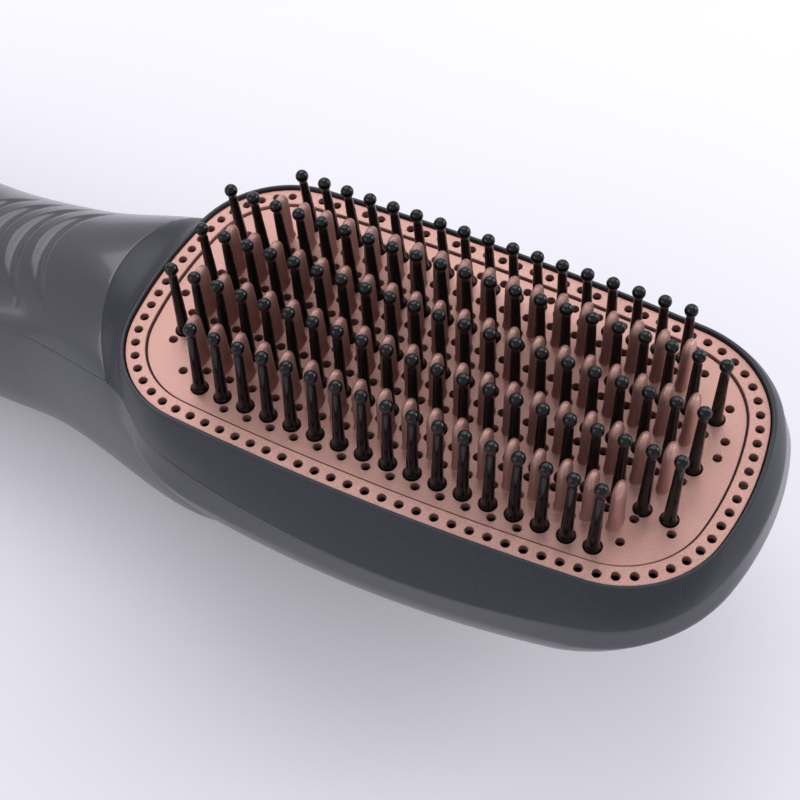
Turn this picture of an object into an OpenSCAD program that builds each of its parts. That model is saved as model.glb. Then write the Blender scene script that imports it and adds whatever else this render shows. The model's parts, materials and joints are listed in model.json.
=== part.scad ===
// Steam hair straightener brush: a round handle and a head with a heated plate,
// heated teeth, ball-tipped pins and a ring of steam vents.
// The head is drawn about the centre of the plate's face, x towards the tip and z out
// of the plate. place() then stands the part on its handle with its box centred.

/* [Brush face] */
// distance between neighbouring pins along a row
pin_pitch = 5; // [4.9:0.05:5.1]
// height of the balls' centres above the plate
pin_h = 17.4; // [15:0.2:19]
// diameter of a pin's ball tip
ball_d = 2.3; // [2:0.1:2.5]
// height of a heated tooth
tooth_h = 13; // [11:0.2:14]
// tooth width along the row
tooth_w = 2.9; // [2.5:0.1:2.9]
// tooth length across the row
tooth_l = 5.2; // [4.6:0.1:5.4]
// diameter of a steam hole
vent_d = 1.7; // [1.4:0.1:1.8]
// number of steam holes in the outer ring
ring_holes = 96; // [88:4:100]
// heater plate thickness
plate_t = 1.8; // [1.6:0.1:2]

/* [Head housing] */
// wall thickness of the housings
wall = 2.2; // [2:0.1:2.4]
// height of the lip above the plate's face
lip_h = 1.2; // [1:0.1:1.6]
// depth of the parting line below the plate's face, at its lowest point
part_depth = 13.2; // [12.8:0.1:14]
// height of the band between the parting line and the crease below it
band_h = 4.5; // [4:0.1:5]
// depth of the rounded back below the crease
back_depth = 20; // [18:0.5:22]

/* [Handle] */
// half width of the handle's grip
grip_r = 22.8; // [22.4:0.1:23.4]
// from the plate's centre to the handle's end
handle_end = 205; // [202:1:212]
// length of the control panel
panel_l = 68; // [68:0.5:70]
// width of the control panel
panel_w = 15; // [14:0.25:15.5]
// diameter of the power and steam buttons
button_d = 8; // [7.5:0.1:8.4]
// how far a button travels
button_travel = 0.8; // [0.5:0.1:1]
// diameter of the cord's hole in the swivel
cord_d = 7; // [6:0.25:7.5]

/* [Hidden] */
run = 0.3;            // gap between pieces that move past each other
seam = 0.25;          // gap at a visible seam
fit = 0.05;           // clearance of a shaft that turns in its hole
lap = 0.1;            // how far two cutters with a shared wall reach into each other
steel = [0.72, 0.73, 0.75];
gunmetal = [0.32, 0.32, 0.35];
gloss_dark = [0.22, 0.22, 0.25];
rose = [0.80, 0.58, 0.52];
black = [0.07, 0.07, 0.08];
nylon = [0.86, 0.86, 0.84];

// an outline: the tip's x, half width, side radius, tip end and tip corner radius, the x of
// the widest place, then the handle end's distance, end radius and corner radius
hole_line = [11.86, 5.93, 116, 12.6, 3.84, -1.8, 11.91, 17, 3.64]*pin_pitch;
ring_out = 1.85;      // ring edges and other outlines, measured from its line of holes
ring_in = -2.0;
plate_edge = -2.35;
opening_edge = 2.1;
lip_edge = 3.0;
gasket_in = -3.2;
ring_top = 0.5;
ring_bottom = -1;
lip_outline = grow(hole_line, lip_edge);
part_outline = [hole_line[0] + 5.9, hole_line[1] + 8, 240, 51, 23.5, 2, hole_line[6] + 7, 70, 30];
crease_outline = part_outline + [1.1, 0.5, 160, 12, 3, -6, 0.5, 6, 2];
sag_x = -15;          // where the parting line is lowest, seen from the side
sag_tip = 0.0015;     // how fast it rises towards the tip, and towards the handle
sag_neck = 0.00096;
function part_z(x) = -part_depth + (x < sag_x ? sag_neck : sag_tip)*(x - sag_x)*(x - sag_x);

// pins, teeth and vents
row_y = [-4.47, -2.346, 0, 2.346, 4.47]*pin_pitch;
row_count = [8, 10, 10, 10, 8];
pin_pull = 0.071;     // how far the tips draw in towards the middle row
pin_root_d = 2.1;
pin_tip_d = 1.5;
collar_d = 3.6;
collar_gap = 0.25;
bar_w = 3.9;
bar_h = 2.8;
tooth_rows = [[-3.25, 9], [-1.06, 10], [1.2, 10], [3.39, 9]];
tooth_shift = 0.35*pin_pitch;
vent_rows = [[-3.67, 8], [-2.84, 8], [-1.47, 10], [-0.69, 10],
             [0.76, 10], [1.53, 10], [2.92, 8], [3.75, 8]];
vent_shift = -0.16*pin_pitch;
edge_vent_y = 4.92*pin_pitch;
end_vents = [[8.89, -2.85], [10.27, -2.87], [8.78, -3.91], [10.64, 1.54], [10.63, 0.76],
             [10.31, 2.97], [8.92, 4.1], [-9, -4.05], [-10.14, -2.93], [-10.94, -0.74],
             [-10.2, 2.95]]*pin_pitch;

// heights of the layers under the plate
plate_under = -plate_t;
film_t = 0.4;
film_under = plate_under - film_t;
gasket_t = 1;
gasket_under = plate_under - gasket_t;
bar_under = plate_under - bar_h;
floor_top = -9.8;
floor_under = floor_top - 1.5;
shield_t = 0.5;
shield_under = floor_under - shield_t;
boss_d = 4.6;
boss_hole_d = 1.9;
post_spots = [for (sx = [-1, 1], sy = [-1, 1]) [sx*9*pin_pitch + tooth_shift + 0.5*pin_pitch,
                                               sy*1.17*pin_pitch]];

// the handle, from the neck to its end
grip_top = -10.2;
grip_bottom = grip_top - 2*grip_r;
rest_z = grip_bottom + 0.8;
neck_rise = 10.1;
neck_lift = 19;
neck_flare = 7.4;
grip_mid = (grip_top + grip_bottom)/2;
grip_inner = grip_r - wall;
seam_slope = 0.168;
seam_x = -65;
seam_z = -10.83;
neck_arc_x = -33.2;
neck_arc_r = 38;
neck_side = 23.4;     // where the arc meets the side seam
arc_end_x = neck_arc_x - sqrt(neck_arc_r*neck_arc_r - neck_side*neck_side);
cap_l = 7;
swivel_l = 9;
tail_x = -handle_end - cap_l - swivel_l - seam;
tip_x = crease_outline.x;
stations = [-12, -28, -38, -46, -52, -57, -62.3, -66, -70, -74, -79, -85, -92, -100, -110, -122,
            -160, -handle_end];
shift = [-(tip_x + tail_x)/2, 0, -rest_z];

module place() translate(shift) children();

function ease(t) = let (c = max(0, min(1, t))) c*c*(3 - 2*c);
function mix(a, b, t) = a + (b - a)*t;
function grow(o, d) = o + d*[1, 1, 1, 1, 1, 0, 1, 1, 1];
function tip_part(o) = [o[0] - o[5], o[1], o[2], o[3], o[4]];
function handle_part(o) = [o[6] + o[5], o[1], o[2], o[7], o[8]];
function raise(points, z) = [for (p = points) [p.x, p.y, z]];

// the corner arc's centre, tangent inside both the end arc and the side arc
function corner(o) = let (
    p = [o[0] - o[3], 0], q = [0, o[1] - o[2]], a = o[3] - o[4], b = o[2] - o[4],
    d = norm(q - p), e = (q - p)/d, u = (a*a - b*b + d*d)/(2*d), h = sqrt(a*a - u*u)
) p + u*e + h*[-e.y, e.x];
function end_angle(o) = let (c = corner(o)) atan2(c.y, c.x - o[0] + o[3]);
function side_angle(o) = let (c = corner(o)) atan2(c.y - o[1] + o[2], c.x);
function arc(c, r, a, b, n) = [for (i = [0:n - 1]) let (t = a + (b - a)*i/n) c + r*[cos(t), sin(t)]];
function quarter(o, n) = let (e = end_angle(o), s = side_angle(o)) concat(
    arc([o[0] - o[3], 0], o[3], 0, e, n), arc(corner(o), o[4], e, s, 2*n),
    arc([0, o[1] - o[2]], o[2], s, 90, n));
function outline(o, n) = let (
    t = quarter(tip_part(o), n), h = quarter(handle_part(o), n), m = len(t), w = [o[5], 0]
) concat(
    [for (p = t) p + w], [[o[5], o[1]]], [for (i = [m - 1:-1:1]) w + [-h[i].x, h[i].y]],
    [for (i = [0:m - 1]) w + [-h[i].x, -h[i].y]], [[o[5], -o[1]]],
    [for (i = [m - 1:-1:1]) w + [t[i].x, -t[i].y]]);

// a point at distance s along a quarter of the outline, from its end towards its side
function along(o, s) = let (
    e = end_angle(o), k = side_angle(o), to_end = o[3]*e*PI/180, to_side = o[4]*(k - e)*PI/180
) s < to_end ? [o[0] - o[3], 0] + o[3]*[cos(s/o[3]*180/PI), sin(s/o[3]*180/PI)]
: s < to_end + to_side ? let (t = e + (s - to_end)/o[4]*180/PI) corner(o) + o[4]*[cos(t), sin(t)]
: let (t = k + (s - to_end - to_side)/o[2]*180/PI) [0, o[1] - o[2]] + o[2]*[cos(t), sin(t)];
function quarter_length(o) = let (e = end_angle(o), k = side_angle(o))
    (o[3]*e + o[4]*(k - e) + o[2]*(90 - k))*PI/180;
tip_l = quarter_length(tip_part(hole_line));
half_l = tip_l + quarter_length(handle_part(hole_line));
hole_drift = 1;       // the holes crowd a little at the corners
function ring_spot(i) = let (
    t = i/(ring_holes/2), s = half_l*t - hole_drift*sin(360*t),
    p = s <= tip_l ? along(tip_part(hole_line), s) : along(handle_part(hole_line), half_l - s)
) [hole_line[5] + (s <= tip_l ? p.x : -p.x), p.y];

module sheet(o, z, t) translate([0, 0, z]) linear_extrude(t) polygon(outline(o, 6));
module band(inner, outer, z, t) translate([0, 0, z]) linear_extrude(t) difference() {
    polygon(outline(grow(hole_line, outer), 6));
    polygon(outline(grow(hole_line, inner), 6));
}
// a bar with round ends, as an outline
function slot_points(l, w, n = 8) = concat(
    [for (i = [0:n]) let (t = -90 + 180*i/n) [(l - w)/2 + w/2*cos(t), w/2*sin(t)]],
    [for (i = [0:n]) let (t = 90 + 180*i/n) [-(l - w)/2 + w/2*cos(t), w/2*sin(t)]]);
module slot(l, w, z, t) translate([0, 0, z]) linear_extrude(t) polygon(slot_points(l, w));
module ring_tube(outer_d, inner_d, h) difference() {
    cylinder(d = outer_d, h = h, $fn = 48);
    translate([0, 0, -1]) cylinder(d = inner_d, h = h + 2, $fn = 48);
}
module box(x0, x1, y0, y1, z0, z1) translate([x0, y0, z0]) cube([x1 - x0, y1 - y0, z1 - z0]);
module along_x(x, z) translate([x, 0, z]) rotate([0, 90, 0]) children();

// ---- housings: the head is one hull of its sections, the neck and handle a chain of them ----
module hull_of(points) hull() polyhedron(points = points, faces = [[for (i = [0:len(points) - 1]) i]]);

// the wall from the lip, u = 0, out and down to the parting line, u = 1
function bulge(u) = u*(1.35 - 0.35*u);
function wall_section(u, inset) = let (
    o = outline(grow(mix(lip_outline, part_outline, bulge(u)), -inset), 3)
) [for (p = o) [p.x, p.y, mix(lip_h, part_z(p.x), u)]];
// the back below the crease, t = 0, down to its lowest point, t = 1
function back_section(t, inset) = let (
    o = outline(grow(crease_outline, -inset), 3), kx = pow(1 - pow(t, 1.1), 1/3),
    ky = pow(1 - pow(t, 2.2), 1/2.2)
) [for (p = o) [p.x*kx, p.y*ky, part_z(p.x*kx) - band_h - t*(back_depth - inset)]];
module head_solid(inset) hull_of(concat(
    [for (u = [inset*0.08, 0.2, 0.45, 0.7, 1], p = wall_section(max(u, inset*0.08), inset)) p],
    [for (t = [0, 0.2, 0.4, 0.58, 0.74, 0.86, 0.94, 0.985], p = back_section(t, inset)) p]));

function neck_top(x) = grip_top + neck_rise*ease((x + 120.5)/55.5) - 10*ease((x + 58)/20);
function neck_bottom(x) = grip_bottom + neck_lift*ease((x + 58.3)/52);
function neck_half(x) = grip_r + neck_flare*ease((x + 91)/52) - 6*ease((x + 40)/28);
function neck_power(x) = 2 + 0.7*ease((x + 90)/40);
function neck_section(x, inset) = let (
    top = neck_top(x) - inset, bottom = neck_bottom(x) + inset, w = neck_half(x) - inset,
    mid = (top + bottom)/2, h = (top - bottom)/2, k = 2/neck_power(x)
) [for (i = [0:35]) let (c = cos(i*10), s = sin(i*10))
    [x, w*sign(c)*pow(abs(c), k), mid + h*sign(s)*pow(abs(s), k)]];
module neck_solid(inset) for (i = [0:len(stations) - 2])
    hull_of(concat(neck_section(stations[i], inset), neck_section(stations[i + 1], inset)));

module outer_solid() difference() {
    union() {
        head_solid(0);
        neck_solid(0);
    }
    box(-handle_end - 1, tip_x + 1, -60, 60, rest_z - 10, rest_z);
}
module inner_solid(inset = wall) difference() {
    union() {
        head_solid(inset);
        neck_solid(inset);
    }
    box(-handle_end - 1, tip_x + 1, -60, 60, rest_z - 10, rest_z + inset);
}
// everything above the seam that runs along the handle's sides
module above_seam() translate([seam_x, 0, seam_z]) rotate([0, -atan(seam_slope), 0])
    box(-160, 40, -60, 60, 0, 60);
// the plan of the front frame: the head, and the neck up to the arc
module head_side(gap) {
    translate([neck_arc_x, 0, -60]) cylinder(r = neck_arc_r + gap, h = 80, $fn = 96);
    box(arc_end_x - gap, tip_x + 5, -60, 60, -60, 20);
}
// everything above the parting line between the frame and the shell
module above_part() rotate([90, 0, 0]) translate([0, 0, -60]) linear_extrude(120) polygon(concat(
    [[-90, 30], [-90, part_z(-90)]], [for (x = [-74:4:70]) [x + 0.37, part_z(x + 0.37)]], [[80, 30]]));

frame_bosses = [[0, hole_line.y + 3.5], [0, -hole_line.y - 3.5], [-64.5, 12], [-64.5, -12]];
frame_boss_d = 3.6;
frame_hole_d = 1.4;
module frame_opening() sheet(grow(hole_line, opening_edge), -20, 40);

module front_frame() color(gunmetal) place() difference() {
    union() {
        difference() {
            intersection() {
                outer_solid();
                head_side(0);
                above_part();
            }
            difference() {
                inner_solid();
                sheet(grow(hole_line, lip_edge + 0.4), -4.5, 10);
            }
        }
        intersection() {
            for (p = frame_bosses) translate([p.x, p.y, floor_top])
                cylinder(d = frame_boss_d, h = 10, $fn = 24);
            inner_solid(wall - 0.4);
        }
    }
    frame_opening();
    for (p = frame_bosses) translate([p.x, p.y, floor_top - 1]) cylinder(d = frame_hole_d, h = 6, $fn = 16);
}

// ribs across the rear shell that the inner pieces rest on
tank_ribs = [-188, -140];
pump_ribs = [-121, -105];
steam_ribs = [-95, -75];
rib_t = 1.8;
tank_r = grip_inner - 1;
pump_bottom = grip_mid - 15;
boiler_bottom = grip_mid - 13;
module rib(x, top) intersection() {
    inner_solid(wall - 0.4);
    box(x, x + rib_t, -30, 30, -60, top);
}

module rear_shell() color(gloss_dark) place() union() {
    difference() {
        outer_solid();
        inner_solid();
        intersection() {
            head_side(0);
            above_part();
        }
        difference() {
            above_seam();
            head_side(-lap);
        }
    }
    for (x = tank_ribs) difference() {
        rib(x, grip_mid - 9);
        along_x(x - 1, grip_mid) cylinder(r = (tank_r + 0.02)/cos(180/64), h = rib_t + 2, $fn = 64);
    }
    for (x = pump_ribs) rib(x, pump_bottom);
    for (x = steam_ribs) rib(x, boiler_bottom);
}

// ---- control panel recess, buttons and board ----
panel_x = -148;
panel_z = grip_top - 1.5;        // floor of the recess
panel_t = 1.2;
pad_t = 1.6;
board_t = 1.6;
board_top = grip_top - 9.9;
board_x = [-180, -112];
board_w = 28;
switch_h = 3.2;
stem_d = 2.2;
flange_t = 1;
button_spots = [[panel_x - 0.368*panel_l, button_d], [panel_x - 0.199*panel_l, button_d],
                [panel_x - 0.051*panel_l, button_d - 1], [panel_x + 0.088*panel_l, button_d - 1]];
lens_x = panel_x + 0.309*panel_l;
lens = [0.235*panel_l, 9];
filler_x = panel_x - panel_l/2 - 9;
filler_l = 16;
filler_w = 12;
neck_od = 11;
neck_id = 9;
lid_t = 1.8;
lid_top = grip_top - 0.1;
hinge_x = filler_x - 7.5;
knuckle_r = 1.7;
hinge_z = lid_top - knuckle_r;
lid_swing = 1;        // room behind the knuckle for the open lid, which leans back
pin_d = 1.2;
board_posts = [for (x = [board_x[0] + 4, board_x[1] - 4], y = [-10.8, 10.8]) [x, y]];

module panel_shape(grow_by, z, t) translate([panel_x, 0, 0])
    slot(panel_l + 2*grow_by, panel_w + 2*grow_by, z, t);
module lid_shape(grow_by, z, t) translate([filler_x, 0, 0])
    box(-7.5 - grow_by, 6.5 + grow_by, -filler_w/2 - grow_by, filler_w/2 + grow_by, z, z + t);
module hinge_bar(r, l) translate([hinge_x, -l/2, hinge_z]) rotate([-90, 0, 0])
    cylinder(r = r, h = l, $fn = 32);

// finger grooves across the grip: each is a ring that dips into the cover's crown and runs out
groove_spots = [-91.3, -98.7, -106.1, -113.5];
groove_r = 16;
groove_tube = 2;
groove_tilt = 30;
groove_depth = 1.1;
groove_floor = 1.2;   // no groove goes deeper into the wall than this
module groove(x) translate([x, 0, neck_top(x) + groove_tube - groove_depth])
    rotate([0, groove_tilt, 0]) translate([groove_r, 0, 0])
        rotate_extrude($fn = 48) translate([groove_r, 0]) circle(r = groove_tube, $fn = 13);

module handle_top_cover() color(gloss_dark) place() difference() {
    union() {
        difference() {
            intersection() {
                outer_solid();
                above_seam();
            }
            inner_solid();
        }
        intersection() {
            outer_solid();
            union() {
                panel_shape(2, panel_z - pad_t, 6);
                lid_shape(3, lid_top - lid_t - 3.4, 6);
                for (p = board_posts) translate([p.x, p.y, board_top]) cylinder(d = boss_d, h = 12, $fn = 24);
            }
        }
    }
    head_side(seam);
    panel_shape(0.1, panel_z, 20);
    for (b = button_spots) translate([b[0], 0, -30]) cylinder(d = b[1] + 2*run, h = 30, $fn = 48);
    translate([lens_x, 0, 0]) box(-lens.x/2 + 1, lens.x/2 - 1, -lens.y/2 + 1, lens.y/2 - 1, -30, 0);
    lid_shape(run, lid_top - lid_t - 0.2, 20);
    hinge_bar(knuckle_r + run, filler_w + 2*run);
    box(hinge_x - knuckle_r - lid_swing, hinge_x, -filler_w/2 - run, filler_w/2 + run, hinge_z, 0);
    hinge_bar(pin_d/2 + fit, filler_w + 2.1);
    translate([filler_x, 0, -30]) cylinder(d = neck_od + 0.2, h = 30, $fn = 48);
    for (p = board_posts) translate([p.x, p.y, board_top - 1]) cylinder(d = boss_hole_d, h = 6, $fn = 16);
    difference() {
        for (x = groove_spots) groove(x);
        neck_solid(groove_floor);
    }
}

module control_panel() color(black) place() difference() {
    panel_shape(0, panel_z, panel_t);
    for (b = button_spots) translate([b[0], 0, -30]) cylinder(d = b[1] + 2*run, h = 30, $fn = 48);
    translate([lens_x, 0, 0]) box(-lens.x/2, lens.x/2, -lens.y/2, lens.y/2, -30, 0);
}
module display_lens() color([0.1, 0.1, 0.12]) place() translate([lens_x, 0, 0])
    box(-lens.x/2 + 0.1, lens.x/2 - 0.1, -lens.y/2 + 0.1, lens.y/2 - 0.1, panel_z, panel_z + panel_t);
module display_module() color(nylon) place() translate([lens_x, 0, 0]) union() {
    box(-lens.x/2 + 1.5, lens.x/2 - 1.5, -lens.y/2 + 1.5, lens.y/2 - 1.5, board_top, panel_z - 0.1);
    box(-lens.x/2, lens.x/2, -lens.y/2, lens.y/2, board_top, panel_z - pad_t - 2);
}
module button(b) color(black) place() translate([b[0], 0, 0]) union() {
    translate([0, 0, panel_z + panel_t - 2.6 - button_travel])
        cylinder(d = b[1], h = 3 + button_travel, $fn = 48);
    translate([0, 0, panel_z - pad_t - flange_t]) cylinder(d = b[1] + 2, h = flange_t, $fn = 48);
    translate([0, 0, board_top + switch_h - 0.3]) cylinder(d = stem_d, h = 5, $fn = 24);
}
module power_button() button(button_spots[0]);
module steam_button() button(button_spots[1]);
module temp_down_button() button(button_spots[2]);
module temp_up_button() button(button_spots[3]);

module control_board() color([0.1, 0.35, 0.2]) place() difference() {
    box(board_x[0], board_x[1], -board_w/2, board_w/2, board_top - board_t, board_top);
    for (p = board_posts) translate([p.x, p.y, board_top - 5])
        cylinder(d = boss_hole_d + 0.4, h = 10, $fn = 24);
}
module tact_switches() color(steel) place() for (b = button_spots)
    translate([b[0], 0, board_top]) difference() {
        box(-3, 3, -3, 3, 0, switch_h);
        translate([0, 0, switch_h - 1.8]) cylinder(d = stem_d + 2*run, h = 3, $fn = 24);
    }
module board_parts() color([0.5, 0.35, 0.2]) place() translate([0, 0, board_top]) {
    box(-156, -144, 4.6, 10, 0, 3);
    box(-138, -130, -10.5, -6, 0, 3);
    translate([-167, -8, 0]) cylinder(d = 5, h = 4, $fn = 32);
    translate([-156, -8, 0]) cylinder(d = 5, h = 4, $fn = 32);
    box(-170, -162, 6, 10.5, 0, 2.5);
}
module board_screws() color(steel) place() for (p = board_posts) translate([p.x, p.y, board_top - board_t]) {
    translate([0, 0, -1.4]) cylinder(d = 3.8, h = 1.4, $fn = 32);
    cylinder(d = boss_hole_d - 2*fit, h = board_t + 4, $fn = 24);
}

// ---- water ----
tank_top = grip_top - 15;
tank_x = [-198, -131];
tank_wall = 1.2;
module tank_body(inset) difference() {
    along_x(tank_x[0] + inset, grip_mid)
        cylinder(r = tank_r - inset, h = tank_x[1] - tank_x[0] - 2*inset, $fn = 96);
    box(tank_x[0] - 1, tank_x[1] + 1, -30, 30, tank_top - inset, 0);
}
module water_tank() color([0.75, 0.8, 0.85]) place() difference() {
    union() {
        tank_body(0);
        translate([filler_x, 0, tank_top - 2])
            cylinder(d = neck_od, h = lid_top - lid_t - 0.4 - tank_top + 2, $fn = 48);
        along_x(tank_x[1] - 1, grip_mid - 8) cylinder(d = 5, h = 5, $fn = 32);
    }
    tank_body(tank_wall);
    translate([filler_x, 0, tank_top - 3]) cylinder(d = neck_id, h = 30, $fn = 48);
    along_x(tank_x[1] - 3, grip_mid - 8) cylinder(d = 2.6, h = 10, $fn = 32);
}
plug_h = 2.4;
module filler_cap() color(gloss_dark) place() difference() {
    intersection() {
        union() {
            box(hinge_x, filler_x + 6.5, -filler_w/2, filler_w/2, lid_top - lid_t, lid_top);
            hinge_bar(knuckle_r, filler_w);
        }
        along_x(hinge_x - 5, grip_mid) cylinder(r = grip_r - 0.05, h = 30, $fn = 96);
    }
    hinge_bar(pin_d/2 + fit, filler_w + 2);
}
module filler_seal() color(black) place() translate([filler_x, 0, lid_top - lid_t - plug_h])
    cylinder(d1 = 6.8, d2 = 8.4, h = plug_h, $fn = 48);
module filler_pin() color(steel) place() hinge_bar(pin_d/2, filler_w + 2);

port_z = grip_mid - 8;
module water_pump() color([0.3, 0.3, 0.32]) place() union() {
    along_x(-121, grip_mid - 2) cylinder(d = 20, h = 13, $fn = 64);
    box(-109, -103, -10, 10, pump_bottom + 1.5, grip_mid + 6);
    along_x(-124, port_z) cylinder(d = 4, h = 22, $fn = 32);
    along_x(-104, port_z) cylinder(d = 4, h = 3.2, $fn = 32);
}
module pump_mount() color(black) place() difference() {
    box(-122, -102.5, -9, 9, pump_bottom, pump_bottom + 5);
    along_x(-130, grip_mid - 2) cylinder(d = 20, h = 40, $fn = 64);
    box(-109, -103, -10, 10, pump_bottom + 1.5, grip_mid + 6);
    along_x(-130, port_z) cylinder(d = 4, h = 40, $fn = 32);
}
module inlet_tube() color([0.9, 0.9, 0.88]) place() along_x(tank_x[1] + 0.05, port_z) difference() {
    cylinder(d = 7, h = 9, $fn = 32);
    translate([0, 0, -1]) cylinder(d = 5, h = 5, $fn = 32);
    translate([0, 0, -1]) cylinder(d = 4, h = 12, $fn = 32);
}
module pump_tube() color([0.9, 0.9, 0.88]) place() along_x(-102.5, port_z) difference() {
    cylinder(d = 6, h = 5.5, $fn = 32);
    translate([0, 0, -1]) cylinder(d = 4, h = 10, $fn = 32);
}

// ---- steam ----
boiler = [-96, -72];
boiler_w = 2*(grip_inner - 6.6);
heater_y = boiler_w/2 - 6;
boiler_top = grip_mid + 5;
outlet_z = grip_mid - 1;
module steam_generator() color([0.66, 0.67, 0.69]) place() difference() {
    union() {
        box(boiler[0], boiler[1], -boiler_w/2, boiler_w/2, boiler_bottom, boiler_top);
        along_x(-100.5, port_z) cylinder(d = 4, h = 5, $fn = 32);
        along_x(boiler[1] - 1, outlet_z) cylinder(d = 5, h = 6, $fn = 32);
    }
    along_x(boiler[0] - 1, boiler_bottom + 5) translate([0, heater_y, 0]) cylinder(d = 6.6, h = 40, $fn = 32);
    along_x(boiler[0] - 1, boiler_bottom + 5) translate([0, -heater_y, 0]) cylinder(d = 6.6, h = 40, $fn = 32);
    along_x(-101, port_z) cylinder(d = 2, h = 12, $fn = 32);
    along_x(boiler[1] - 6, outlet_z) cylinder(d = 3, h = 14, $fn = 32);
}
module generator_heater() color(steel) place() for (y = [-heater_y, heater_y])
    along_x(boiler[0] - 1.5, boiler_bottom + 5) translate([0, y, 0]) cylinder(d = 6.6 - 2*fit, h = 27, $fn = 32);
module generator_fuse() color(nylon) place() translate([-84, 0, boiler_top]) {
    box(-8, 8, -3, 3, 0, 4);
    box(-11, -8, -1.5, 1.5, 0, 1);
    box(8, 11, -1.5, 1.5, 0, 1);
}
module generator_screws() color(steel) place() for (x = [-92, -76], y = [-9, 9])
    translate([x, y, boiler_top]) cylinder(d = 5, h = 2, $fn = 32);
pipe_bend = 9;
inlet_x = -50;
spigot_z = -24;
pipe_od = 7.4;
pipe_id = 5;
module steam_pipe() color([0.75, 0.35, 0.25]) place() union() {
    along_x(boiler[1], outlet_z) ring_tube(pipe_od, pipe_id, inlet_x - pipe_bend - boiler[1]);
    translate([inlet_x - pipe_bend, 0, outlet_z + pipe_bend]) rotate([90, 0, 0]) rotate([0, 0, -90])
        rotate_extrude(angle = 90, $fn = 96) translate([pipe_bend, 0]) difference() {
            circle(d = pipe_od, $fn = 48);
            circle(d = pipe_id, $fn = 48);
        }
    translate([inlet_x, 0, outlet_z + pipe_bend])
        ring_tube(pipe_od, pipe_id, floor_under - outlet_z - pipe_bend - 0.6);
}
module pipe_seal() color(black) place() translate([inlet_x, 0, floor_under - 0.6]) ring_tube(7.4, 5, 0.55);

// ---- heated plate, tray and pins ----
ear_w = 3.2;
module steam_tray() color([0.2, 0.2, 0.21]) place() difference() {
    union() {
        sheet(grow(hole_line, ring_out), floor_under, floor_top - floor_under);
        band(ring_out - 1, ring_out, floor_top, ring_bottom - floor_top);
        difference() {
            band(gasket_in, gasket_in + 1.2, floor_top, gasket_under - floor_top);
            for (x = [-30, 0, 30]) box(x - 5, x + 5, -60, 60, floor_top + 1, gasket_under - 2);
        }
        for (y = row_y, x = [-30, 0, 30]) box(x - 4, x + 4, y - 0.6, y + 0.6, floor_top, bar_under);
        for (p = post_spots) translate([p.x, p.y, floor_under]) cylinder(d = boss_d + 2, h = 3, $fn = 32);
        for (p = frame_bosses) translate([p.x, p.y, floor_under]) {
            cylinder(d = ear_w, h = floor_top - floor_under, $fn = 32);
            rotate([0, 0, abs(p.x) > 9 ? 0 : p.y > 0 ? -90 : 90])
                box(0, abs(p.x) > 9 ? 8 : 4, -ear_w/2, ear_w/2, 0, floor_top - floor_under);
        }
        translate([inlet_x, 0, floor_under - 3.5]) cylinder(d = 5 - 2*fit, h = 4.5, $fn = 32);
    }
    for (p = post_spots) translate([p.x, p.y, floor_under - 1])
        cylinder(d = boss_hole_d + 0.4, h = 9, $fn = 24);
    for (p = frame_bosses) translate([p.x, p.y, floor_under - 1])
        cylinder(d = frame_hole_d + 0.3, h = 9, $fn = 24);
    translate([inlet_x, 0, -20]) cylinder(d = 3, h = 12, $fn = 32);
}
module tray_screws() color(steel) place() for (p = post_spots) translate([p.x, p.y, shield_under]) {
    translate([0, 0, -1.4]) cylinder(d = 4, h = 1.4, $fn = 32);
    cylinder(d = boss_hole_d - 2*fit, h = 7, $fn = 24);
}
module frame_screws() color(steel) place() for (p = frame_bosses) translate([p.x, p.y, floor_under]) {
    translate([0, 0, -1]) cylinder(d = 2.8, h = 1, $fn = 32);
    cylinder(d = frame_hole_d - 2*fit, h = 5.5, $fn = 24);
}
module heat_shield() color([0.8, 0.78, 0.7]) place() difference() {
    sheet(grow(hole_line, ring_out - 2), shield_under, shield_t);
    for (p = post_spots) translate([p.x, p.y, -20]) cylinder(d = boss_hole_d + 0.4, h = 20, $fn = 24);
    translate([inlet_x, 0, -20]) cylinder(d = 9, h = 20, $fn = 32);
}

module vent_ring() color(rose) place() translate([0, 0, ring_bottom])
    linear_extrude(ring_top - ring_bottom) difference() {
        polygon(outline(grow(hole_line, ring_out), 6));
        polygon(outline(grow(hole_line, ring_in), 6));
        for (i = [0:ring_holes/2]) translate(ring_spot(i)) circle(d = vent_d, $fn = 24);
        for (i = [1:ring_holes/2 - 1]) translate([ring_spot(i).x, -ring_spot(i).y])
            circle(d = vent_d, $fn = 24);
    }
module plate_gasket() color(black) place() union() {
    band(gasket_in, -1.4, gasket_under, gasket_t);
    band(plate_edge + 0.05, -1.4, plate_under - 0.1, ring_bottom - plate_under + 0.1);
    band(plate_edge + 0.05, ring_in - 0.05, ring_bottom - 0.1, 0.7);
}
module vents(d) {
    for (r = vent_rows, k = [-r[1]:r[1]]) translate([k*pin_pitch + vent_shift, r[0]*pin_pitch])
        circle(d = d, $fn = 24);
    for (p = end_vents) translate(p) circle(d = d, $fn = 24);
}
module edge_vents(d) for (s = [-1, 1], k = [-7:5])
    translate([k*pin_pitch + 0.34*pin_pitch, s*edge_vent_y]) circle(d = d, $fn = 24);
function bullet(w, h, n = 4) = let (r = 0.42*w, k = min(1.25*r, 0.3*h)) concat(
    [[-w/2, -0.6], [w/2, -0.6], [w/2, 0]],
    [for (i = [0:2*n]) let (t = 90*i/n) [r*cos(t), h - k + k*sin(t)]], [[-w/2, 0]]);
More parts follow.
